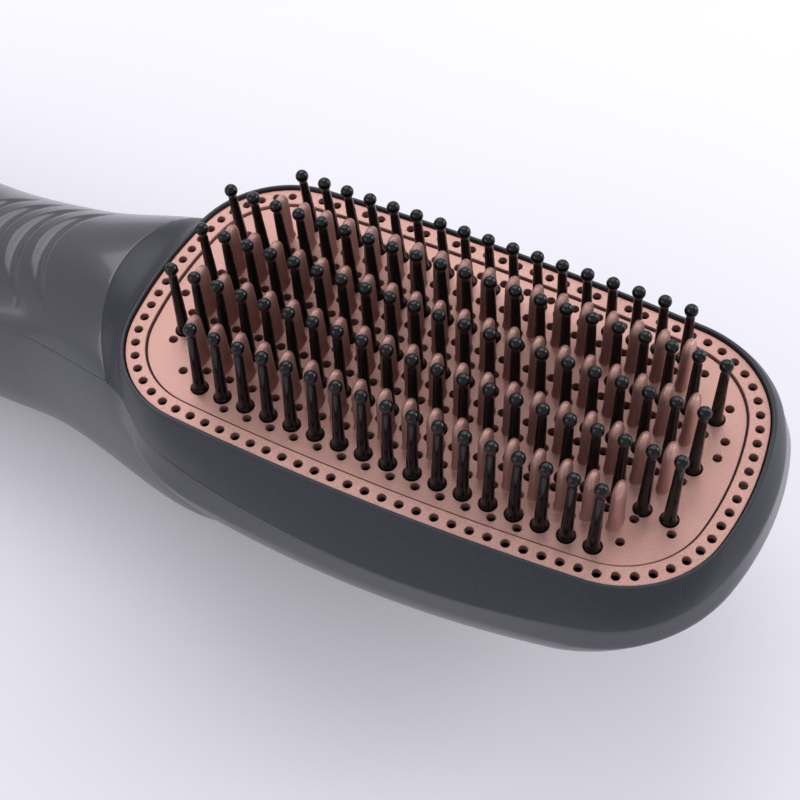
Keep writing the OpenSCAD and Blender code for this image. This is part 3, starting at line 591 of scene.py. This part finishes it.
def skinPiece(bm, name, keep, slotName, openings=(), depth=None):
    part = bm.copy()
    bmesh.ops.delete(part, geom=[f for f in part.faces if not keep(f.calc_center_median())], context="FACES")
    for side in openings:
        cutAlong(part, lambda co: side(co) if co.z > handleMiddle + 5 else 9.0)
        middles = {f: f.calc_center_median() for f in part.faces}
        gone = [f for f, c in middles.items() if c.z > handleMiddle + 5 and side(c) < 0]
        bmesh.ops.delete(part, geom=gone, context="FACES")
    bmesh.ops.delete(part, geom=[f for f in part.faces if f.calc_area() < 1e-7], context="FACES_ONLY")
    rollRims(part, depth or shell["rimDepth"])
    for f in part.faces:
        f.material_index = 0
    mesh = bpy.data.meshes.new(name)
    part.to_mesh(mesh)
    part.free()
    co = np.empty(len(mesh.vertices) * 3)
    mesh.vertices.foreach_get("co", co)
    mesh.vertices.foreach_set("co", toFrame(co.reshape(-1, 3)).ravel())
    mesh.materials.append(finishes[slotName])
    mesh.polygons.foreach_set("use_smooth", [True] * len(mesh.polygons))
    obj = bpy.data.objects.new(name, mesh)
    bpy.context.scene.collection.objects.link(obj)
    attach(obj, "housing")
    return obj


skin = joinedSkin()
smoothJunction(skin)
faceCap = [f for f in skin.faces
           if abs(f.normal.z) > 0.99 and len(f.verts) > 200 and f.calc_center_median().z > 0]
bmesh.ops.delete(skin, geom=faceCap, context="FACES")
tailCapFaces = [f for f in skin.faces if f.calc_center_median().x < handle["end"] + 0.1]
bmesh.ops.delete(skin, geom=tailCapFaces, context="FACES")
gap = shell["seamGap"]
for side in (frameSide, coverSide):
    for offset in (gap, -gap):
        cutAlong(skin, lambda co: side(co) - offset)
frontFrame = skinPiece(skin, "frontFrame", lambda c: frameSide(c) > gap, "gunmetal_housing", depth=2.4)
handleCover = skinPiece(skin, "handleCover", lambda c: coverSide(c) > gap and frameSide(c) < -gap,
                        "gloss_handle", openings=(panelSide, lidSide))
rearShell = skinPiece(skin, "rearShell", lambda c: coverSide(c) < -gap and frameSide(c) < -gap, "gloss_handle")
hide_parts("front_frame")
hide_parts("handle_top_cover")
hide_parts("rear_shell")
for obj in (frontFrame, handleCover, rearShell):
    sharpen(obj, 50)
print("housing skin ready", [len(o.data.polygons) for o in (frontFrame, handleCover, rearShell)])

# ---- vent ring and heated plate: pierced sheets with rounded edges ----
plate = {
    "ventRows": ((-3.67, 8), (-2.84, 8), (-1.47, 10), (-0.69, 10),
                 (0.76, 10), (1.53, 10), (2.92, 8), (3.75, 8)),
    "ventShift": -0.16,
    "edgeVentY": 4.92,
    "edgeVentShift": 0.34,
    "endVents": ((8.89, -2.85), (10.27, -2.87), (8.78, -3.91), (10.64, 1.54), (10.63, 0.76), (10.31, 2.97),
                 (8.92, 4.1), (-9, -4.05), (-10.14, -2.93), (-10.94, -0.74), (-10.2, 2.95)),
    "rimRound": 0.14,
    "pinRows": ((-4.47, 8), (-2.346, 10), (0, 10), (2.346, 10), (4.47, 8)),
    "pinHoleRadius": 1.72,
    "toothRows": ((-3.25, 9), (-1.06, 10), (1.2, 10), (3.39, 9)),
    "toothShift": 0.35,
}
pitch = face["pinPitch"]


def circle(centre, r, n=20):
    return [(centre[0] + r * math.cos(2 * math.pi * k / n), centre[1] + r * math.sin(2 * math.pi * k / n))
            for k in range(n)]


def around(o, n):  # an outline that steps into the sheet by a distance
    return lambda off: outline(grow(o, -off), n)


def hole(centre, r, n=20):
    return lambda off: circle(centre, r + off, n)


def inLoop(points, loop):  # which points lie inside a closed loop
    a, b = loop, np.roll(loop, -1, axis=0)
    inside = np.zeros(len(points), bool)
    for (x0, y0), (x1, y1) in zip(a, b):
        if y0 != y1:
            crosses = ((y0 > points[:, 1]) != (y1 > points[:, 1]))
            inside ^= crosses & (points[:, 0] < (x1 - x0) * (points[:, 1] - y0) / (y1 - y0) + x0)
    return inside


def piercedSheet(name, outer, holes, top, bottom, rim, slotName, replaced=(), body="housing"):
    flat = [np.array(loop(rim)) for loop in [outer] + holes]
    points = [Vector(p) for loop in flat for p in loop]
    edges, base = [], 0
    for loop in flat:
        edges += [(base + k, base + (k + 1) % len(loop)) for k in range(len(loop))]
        base += len(loop)
    found = delaunay_2d_cdt(points, edges, [], 0, 1e-6)
    at, triangles = np.array([tuple(v) for v in found[0]]), found[2]
    centres = np.array([at[list(t)].mean(0) for t in triangles])
    keep = inLoop(centres, flat[0])
    for loop in flat[1:]:
        middle, reach = loop.mean(0), np.linalg.norm(loop - loop.mean(0), axis=1).max()
        near = np.abs(centres - middle).max(1) < reach
        if near.any():
            keep[near] &= ~inLoop(centres[near], loop)
    verts = [np.column_stack([at, np.full(len(at), top)]), np.column_stack([at, np.full(len(at), bottom)])]
    faces = [tuple(t) for t, k in zip(triangles, keep) if k]
    faces += [tuple(len(at) + i for i in t[::-1]) for t in faces]
    base = 2 * len(at)
    steps = [(rim, top), (rim * 0.5, top - rim * 0.13), (rim * 0.13, top - rim * 0.5),
             (0, top - rim), (0, bottom), (rim, bottom)]
    for loop, turn in [(outer, 1)] + [(h, -1) for h in holes]:
        rows = [np.array(loop(off)) for off, z in steps]
        count = len(rows[0])
        verts += [np.column_stack([r, np.full(count, z)]) for r, (off, z) in zip(rows, steps)]
        faces += [tuple(base + i for i in f[::-turn]) for f in loopFaces(len(steps), count)]
        base += len(steps) * count
    obj = newPiece(name, toFrame(np.concatenate(verts)), faces, body, slotName)
    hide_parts(*replaced)
    sharpen(obj, 60)
    return obj


half = face["ringHoles"] // 2
ringVents = [ringSpot(i) for i in range(half + 1)] + [ringSpot(i) * [1, -1] for i in range(1, half)]
ringHoles = [lambda off: outline(grow(holeLine, face["ringIn"] + off), 60)]
ringHoles += [hole(p, face["ventRadius"]) for p in ringVents]
ventRing = piercedSheet("ventRing", around(grow(holeLine, face["ringOut"]), 60), ringHoles, face["ringTop"],
                        -1.0, plate["rimRound"], "rose_gold_metal", ("vent_ring",))

plateVents = [((k + plate["ventShift"]) * pitch, y * pitch)
              for y, n in plate["ventRows"] for k in range(-n, n + 1)]
plateVents += [((k + plate["edgeVentShift"]) * pitch, s * plate["edgeVentY"] * pitch)
               for s in (-1, 1) for k in range(-7, 6)]
plateVents += [(x * pitch, y * pitch) for x, y in plate["endVents"]]
pinSpots = [(k * pitch, y * pitch) for y, n in plate["pinRows"] for k in range(-n, n + 1)]
plateHoles = [hole(p, face["ventRadius"]) for p in plateVents]
plateHoles += [hole(p, plate["pinHoleRadius"], 24) for p in pinSpots]
heatedPlate = piercedSheet("heatedPlate", around(grow(holeLine, face["plateEdge"]), 60), plateHoles, 0.0,
                           -face["plateThick"], plate["rimRound"], "rose_gold_metal", ("heater_plate",))

# ---- heated teeth: rounded bullets with soft upright flutes on their flanks ----
tooth = {"height": 12.4, "width": 2.5, "length": 4.7, "flute": 0.14, "foot": 0.3, "nose": 2.4}


def toothForm(sides=28):
    w, l, h = tooth["width"] / 2, tooth["length"] / 2, tooth["height"]
    nose = tooth["nose"]
    levels = [(z, 1 + share * tooth["foot"] / l) for z, share in ((0.0, 1), (0.12, 0.45), (0.45, 0.1))]
    levels += [(z, 1 - 0.16 * (z / h) ** 1.6) for z in np.linspace(1.0, h - nose, 6)]
    shoulder = levels[-1][1]
    levels += [(h - nose + nose * math.sin(t), shoulder * math.cos(t) ** 0.9) for t in np.linspace(0.2, 1.45, 9)]
    verts = []
    for z, size in levels:
        bite = tooth["flute"] * min(1, max(0, (h - 1.6 - z) / 3)) * (1 if z > 0.5 else 0)
        for k in range(sides):
            a = 2 * math.pi * k / sides
            c, s = math.cos(a), math.sin(a)
            r = 1 - bite * (0.5 + 0.5 * math.cos(6 * a)) * abs(c)
            verts.append((w * np.sign(c) * abs(c) ** 0.9 * size * r, l * np.sign(s) * abs(s) ** 0.8 * size, z))
    verts.append((0, 0, h))
    faces = loopFaces(len(levels), sides)
    top = (len(levels) - 1) * sides
    faces += [(top + k, top + (k + 1) % sides, len(verts) - 1) for k in range(sides)]
    return np.array(verts), faces


def placed(x, y, z=0.0, tilt=0.0):
    m = np.eye(4)
    m[:3, :3] = np.array(Matrix.Rotation(tilt, 3, "X"))
    m[:3, 3] = (x, y, z)
    return m


teeth = copies(*toothForm(), [placed((k + plate["toothShift"]) * pitch, y * pitch)
                              for y, n in plate["toothRows"] for k in range(-n, n)])
heatedTeeth = newPiece("heatedTeeth", toFrame(teeth[0]), teeth[1], slot="rose_gold_metal")

# ---- pins: a small collar, a tapering stem with a soft root, a waist and a ball ----
pin = {"height": 17.27, "outerDrop": 1.2, "rootRadius": 1.2, "tipRadius": 0.85, "ball": 1.28, "collar": 1.5,
       "collarTop": 0.25, "rootTop": 0.95, "waist": 1.2, "pull": 0.071}


def pinForm(h):
    r0, r1, b = pin["rootRadius"], pin["tipRadius"], pin["ball"]
    profile = [(pin["collar"], -2.6), (pin["collar"], pin["collarTop"] - 0.2),
               (pin["collar"] - 0.03, pin["collarTop"]), (pin["collar"] - 0.1, pin["collarTop"] + 0.12),
               (r0 + 0.12, pin["collarTop"] + 0.3), (r0 + 0.04, pin["collarTop"] + 0.5), (r0, pin["rootTop"])]
    stem = h - b - pin["waist"] - pin["rootTop"]
    profile += [(r0 + (r1 - r0) * t, pin["rootTop"] + stem * t) for t in (0.25, 0.5, 0.75, 1.0)]
    profile += [(r1 - 0.05, h - b - 0.5), (r1 - 0.07, h - b - 0.12), (r1 + 0.02, h - b * 0.93)]
    start = math.asin(min(1, (r1 + 0.12) / b))
    profile += [(b * math.sin(a), h - b * math.cos(a)) for a in np.linspace(start, math.pi - 0.32, 12)]
    profile += [(b * 0.24, h + b * 0.958), (b * 0.14, h + b * 0.945), (0, h + b * 0.94)]
    return lathe(profile, 20)


for index, (y, n) in enumerate(plate["pinRows"]):
    h = pin["height"] - (pin["outerDrop"] if index in (0, 4) else 0)
    tilt = math.atan(pin["pull"] * y * pitch / pin["height"])
    row = copies(*pinForm(h), [placed(k * pitch, y * pitch, 0, tilt) for k in range(-n, n + 1)])
    obj = newPiece(f"pinRow{index + 1}", toFrame(row[0]), row[1], slot="black_nylon")
    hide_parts(f"bristle_row_{index + 1}")
print("ring, plate, teeth and pins ready")

# ---- the handle's controls, filler lid and tail ----
panel = {
    "length": 68.0,
    "width": 15.0,
    "top": handle["top"] - 0.3,
    "thick": 1.2,
    "rim": 0.18,
    "runningGap": 0.3,
    # each button's share of the panel's length from its middle, and its radius
    "buttonSpots": ((-0.368, 4.0), (-0.199, 4.0), (-0.051, 3.5), (0.088, 3.5)),
    "buttonRise": 0.4,
    "dish": 0.22,
    "iconRise": 0.16,
    "stroke": 0.42,
    "lensSpot": 0.309,
    "lensHalf": (7.99, 4.5),
}


def roundedBox(cx, cy, halfX, halfY, r, sign, n=6):  # a loop that grows (1) or shrinks (-1) with the distance
    def loop(off):
        hx, hy, c = halfX + sign * off, halfY + sign * off, max(r + sign * off, 0.02)
        return [(cx + sx * (hx - c) + c * math.cos(t), cy + sy * (hy - c) + c * math.sin(t))
                for sx, sy, start in ((1, 1, 0), (-1, 1, 0.5), (-1, -1, 1), (1, -1, 1.5))
                for t in (math.pi * (start + 0.5 * k / n) for k in range(n + 1))]
    return loop


def merge(obj, verts, faces):  # adds a form to a piece
    extra = bpy.data.meshes.new("extra")
    extra.from_pydata([tuple(v) for v in verts], [], faces)
    bm = bmesh.new()
    bm.from_mesh(obj.data)
    bm.from_mesh(extra)
    for f in bm.faces:
        f.smooth = True
    bm.to_mesh(obj.data)
    bm.free()
    bpy.data.meshes.remove(extra)


def strokeForm(points, width, low, high):  # a raised line of even width along a path
    p = np.array(points, float)
    ahead = np.gradient(p, axis=0)
    ahead /= np.linalg.norm(ahead, axis=1)[:, None]
    side = np.column_stack([-ahead[:, 1], ahead[:, 0]]) * width / 2
    rows = [np.column_stack([np.concatenate([p + side * k, (p - side * k)[::-1]]), np.full(2 * len(p), z)])
            for k, z in ((1, low), (1, high - 0.04), (0.84, high))]
    count = 2 * len(p)
    faces = [f[::-1] for f in loopFaces(3, count)]
    last = 2 * count
    faces += [(last + k, last + count - 1 - k, last + count - 2 - k, last + k + 1) for k in range(len(p) - 1)]
    return np.concatenate(rows), faces


def arc(r, start, end, n=22):
    turns = np.linspace(math.radians(start), math.radians(end), n)
    return [(r * math.cos(t), r * math.sin(t)) for t in turns]


icons = {
    "power_button": [arc(1.5, 130, 410), [(0, 0.5), (0, 1.2), (0, 1.9)]],
    "steam_button": [[(x + 0.35 * math.sin(2.4 * y), y) for y in np.linspace(-1.5, 1.5, 16)]
                     for x in (-1.1, 0, 1.1)],
    "temp_down_button": [[(0, -1.3), (0, 0), (0, 1.3)]],
    "temp_up_button": [[(0, -1.3), (0, 0), (0, 1.3)], [(-1.3, 0), (0, 0), (1.3, 0)]],
}


def buttonPiece(node, share, r):  # a dished key with its raised sign
    rise = panel["top"] + panel["buttonRise"]
    dish = rise - panel["dish"]
    profile = [(r, panel["top"] - 3.4), (r, rise - 0.3), (r - 0.09, rise - 0.09), (r - 0.3, rise),
               (r - 0.55, rise - 0.03), (r - 0.85, dish + 0.03), (r - 1.2, dish), (1.2, dish - 0.03),
               (0, dish - 0.04)]
    verts, faces = lathe(profile, 56)
    centre = np.array([shell["panelX"] + share * panel["length"], 0, 0])
    words = node.split("_")
    name = words[0] + "".join(w.capitalize() for w in words[1:])
    obj = newPiece(name, toFrame(verts + centre), faces, node, "gloss_black")
    for path in icons[node]:
        v, f = strokeForm(path, panel["stroke"], dish - 0.1, dish + panel["iconRise"])
        merge(obj, toFrame(v + centre), f)
    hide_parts(node)
    sharpen(obj, 45)


def panelLoop(off):  # the panel's round-ended outline, stepped in by a distance
    r = panel["width"] / 2
    half = panel["length"] / 2 - r
    return [(shell["panelX"] + sx * half + (r - off) * math.cos(t), (r - off) * math.sin(t))
            for sx, start in ((1, -0.5), (-1, 0.5))
            for t in (math.pi * (start + k / 24) for k in range(25))]


lensX = shell["panelX"] + panel["lensSpot"] * panel["length"]
lensHalfX, lensHalfY = panel["lensHalf"]
panelHoles = [hole((shell["panelX"] + share * panel["length"], 0), r + panel["runningGap"], 48)
              for share, r in panel["buttonSpots"]]
panelHoles.append(roundedBox(lensX, 0, lensHalfX, lensHalfY, 0.8, 1))
controlPanel = piercedSheet("controlPanel", panelLoop, panelHoles, panel["top"], panel["top"] - panel["thick"],
                            panel["rim"], "gloss_black", ("control_panel",))
lensLoop = roundedBox(lensX, 0, lensHalfX - 0.1, lensHalfY - 0.1, 0.8, -1)
displayLens = piercedSheet("displayLens", lensLoop, [], panel["top"], panel["top"] - panel["thick"], 0.12,
                           "gloss_black", ("display_lens",))
for node, (share, r) in zip(icons, panel["buttonSpots"]):
    buttonPiece(node, share, r)

lid = {"back": -198.5, "front": -184.5, "half": 6.0, "corner": 1.6, "top": handle["top"] - 0.1, "thick": 1.8,
       "rim": 0.3, "knuckle": 1.7, "radius": 22.75}


def fillerLid():  # a flat lid bent to the handle's round, with its hinge knuckle
    middle, half = (lid["back"] + lid["front"]) / 2, (lid["front"] - lid["back"]) / 2
    outer = roundedBox(middle, 0, half, lid["half"], lid["corner"], -1)
    obj = piercedSheet("fillerLid", outer, [], lid["top"], lid["top"] - lid["thick"], lid["rim"],
                       "gloss_handle", ("filler_cap",), "filler_lid")
    bm = bmesh.new()
    bm.from_mesh(obj.data)
    for y in np.linspace(-5.2, 5.2, 14):
        bmesh.ops.bisect_plane(bm, geom=bm.verts[:] + bm.edges[:] + bm.faces[:], dist=1e-7,
                               plane_co=(0, y * mm, 0), plane_no=(0, 1, 0))
    for v in bm.verts:
        y = v.co.y / mm
        v.co.z -= (lid["radius"] - math.sqrt(lid["radius"] ** 2 - y * y)) * mm
    bm.to_mesh(obj.data)
    bm.free()
    k = lid["knuckle"]
    verts, faces = lathe([(0, -6), (k - 0.2, -6), (k, -5.8), (k, 5.8), (k - 0.2, 6), (0, 6)], 40)
    verts = np.column_stack([verts[:, 1] + lid["back"], verts[:, 2], verts[:, 0] + lid["top"] - k])
    merge(obj, toFrame(verts), faces)
    sharpen(obj, 45)


fillerLid()

tail = {"radius": 22.7, "bore": 6.05, "length": 7.0, "round": 9.0, "seam": 0.25}
swivel = {"length": 9.0, "bearing": 6.0, "flare": 1.6, "cord": 3.5, "ribs": 5, "ribDepth": 0.5}


def atTail(verts):  # the lathe's axis laid along the handle's, pointing away from the head
    return np.column_stack([-verts[:, 2] + handle["end"], verts[:, 1], verts[:, 0] + handleMiddle])


def tailCap():
    r, l, bore = tail["radius"], tail["length"], tail["bore"]
    curve = [(r - tail["round"] * (1 - math.sqrt(1 - k ** 2.4)), 0.4 + (l - 0.4) * k)
             for k in np.linspace(0, 1, 14)]
    profile = [(r - 0.25, 0.12), (r - 0.05, 0.2)] + curve
    profile += [(bore + 0.5, l), (bore + 0.1, l - 0.15), (bore, l - 0.5), (bore, 1.0)]
    verts, faces = lathe(profile, 120)
    verts = atTail(verts)
    verts[:, 2] = np.maximum(verts[:, 2], handleBottom + handle["restCut"])
    obj = newPiece("tailCap", toFrame(verts), faces, slot="gunmetal_housing")
    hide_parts("tail_cap")
    sharpen(obj, 50)


def cordSwivel():
    low, long, b, cord = tail["length"] + tail["seam"], swivel["length"], swivel["bearing"], swivel["cord"]
    step = (long - 2.2) / swivel["ribs"]

    def taper(h):
        return b + swivel["flare"] - 2 * (h - low) / long

    profile = [(b, 0.5), (b, low - 0.05), (b + swivel["flare"] - 0.15, low), (b + swivel["flare"], low + 0.2)]
    for i in range(swivel["ribs"]):
        z = low + 0.9 + i * step
        for rise, cut in ((0, 0), (0.12, swivel["ribDepth"]), (0.4 * step, swivel["ribDepth"]), (0.5 * step, 0)):
            profile.append((taper(z + rise) - cut, z + rise))
    top = low + long
    profile += [(b - 0.2, top - 0.5), (b - 0.5, top - 0.1), (b - 0.9, top), (cord + 0.5, top),
                (cord + 0.12, top - 0.12), (cord, top - 0.5), (cord, 1.0)]
    verts, faces = lathe(profile, 72)
    obj = newPiece("cordSwivel", toFrame(atTail(verts)), faces, "swivel", "black_nylon")
    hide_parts("cord_swivel")
    sharpen(obj, 45)


tailCap()
cordSwivel()
print("controls, lid and tail ready")

# ---- the camera of the photograph, floor and studio light ----
view = {"place": (154.465, -145.34, 279.99), "lens": 66.40, "sensor": 36.0}
turn = Matrix(((0.89075, 0.45197, -0.04773), (0.34561, -0.74182, -0.57468), (-0.29514, 0.4954, -0.81699)))
camera = bpy.data.objects.new("camera", bpy.data.cameras.new("camera"))
bpy.context.scene.collection.objects.link(camera)
camera.data.sensor_width, camera.data.lens = view["sensor"], view["lens"]
camera.data.clip_start, camera.data.clip_end = 0.01, 20
camera.matrix_world = Matrix.Translation(Vector(view["place"]) * mm) @ Matrix(
    (turn[0], -turn[1], -turn[2])).transposed().to_4x4()
bpy.context.scene.camera = camera
bpy.context.scene.view_settings.view_transform = "Standard"

studio = {"floor": (234, 233, 240), "floorLift": 0.06, "world": 0.68, "key": 2.9, "fill": 1.8, "back": 2.2}


def makeFloor():
    half = 3.0
    mesh = bpy.data.meshes.new("floor")
    corners = [(-half, -half, 0), (half, -half, 0), (half, half, 0), (-half, half, 0)]
    mesh.from_pydata(corners, [], [(0, 1, 2, 3)])
    floor = bpy.data.objects.new("floor", mesh)
    bpy.context.scene.collection.objects.link(floor)
    material = bpy.data.materials.new("floor")
    material.use_nodes = True
    shader = material.node_tree.nodes["Principled BSDF"]
    shader.inputs["Base Color"].default_value = linear(*studio["floor"])
    shader.inputs["Emission Color"].default_value = (0.97, 0.97, 1.0, 1)
    sight = addNode(material.node_tree, "ShaderNodeLightPath")
    lift = addNode(material.node_tree, "ShaderNodeMath", operation="MULTIPLY")
    lift.inputs[1].default_value = studio["floorLift"]
    material.node_tree.links.new(sight.outputs["Is Camera Ray"], lift.inputs[0])
    material.node_tree.links.new(lift.outputs["Value"], shader.inputs["Emission Strength"])
    shader.inputs["Roughness"].default_value = 0.55
    shader.inputs["Specular IOR Level"].default_value = 0.2
    mesh.materials.append(material)


def softbox(name, place, target, width, depth, power):
    lamp = bpy.data.lights.new(name, "AREA")
    lamp.shape, lamp.size, lamp.size_y, lamp.energy = "RECTANGLE", width, depth, power
    obj = bpy.data.objects.new(name, lamp)
    bpy.context.scene.collection.objects.link(obj)
    obj.location = place
    obj.rotation_euler = (Vector(target) - Vector(place)).to_track_quat("-Z", "Y").to_euler()


makeFloor()
world = bpy.data.worlds.new("studio")
bpy.context.scene.world = world
world.use_nodes = True
world.node_tree.nodes["Background"].inputs["Color"].default_value = (0.93, 0.93, 1.0, 1)
sight = addNode(world.node_tree, "ShaderNodeLightPath")
level = addNode(world.node_tree, "ShaderNodeMapRange")
level.inputs["To Min"].default_value, level.inputs["To Max"].default_value = studio["world"], 1.0
world.node_tree.links.new(sight.outputs["Is Camera Ray"], level.inputs["Value"])
world.node_tree.links.new(level.outputs["Result"], world.node_tree.nodes["Background"].inputs["Strength"])
softbox("key", (-0.25, 0.45, 0.75), (0, 0, 0), 0.9, 0.5, studio["key"])
softbox("fill", (-0.5, -0.7, 0.5), (0, 0, 0.02), 0.6, 0.6, studio["fill"])
softbox("back", (0.6, 0.5, 0.4), (0, 0, 0.03), 0.4, 0.4, studio["back"])
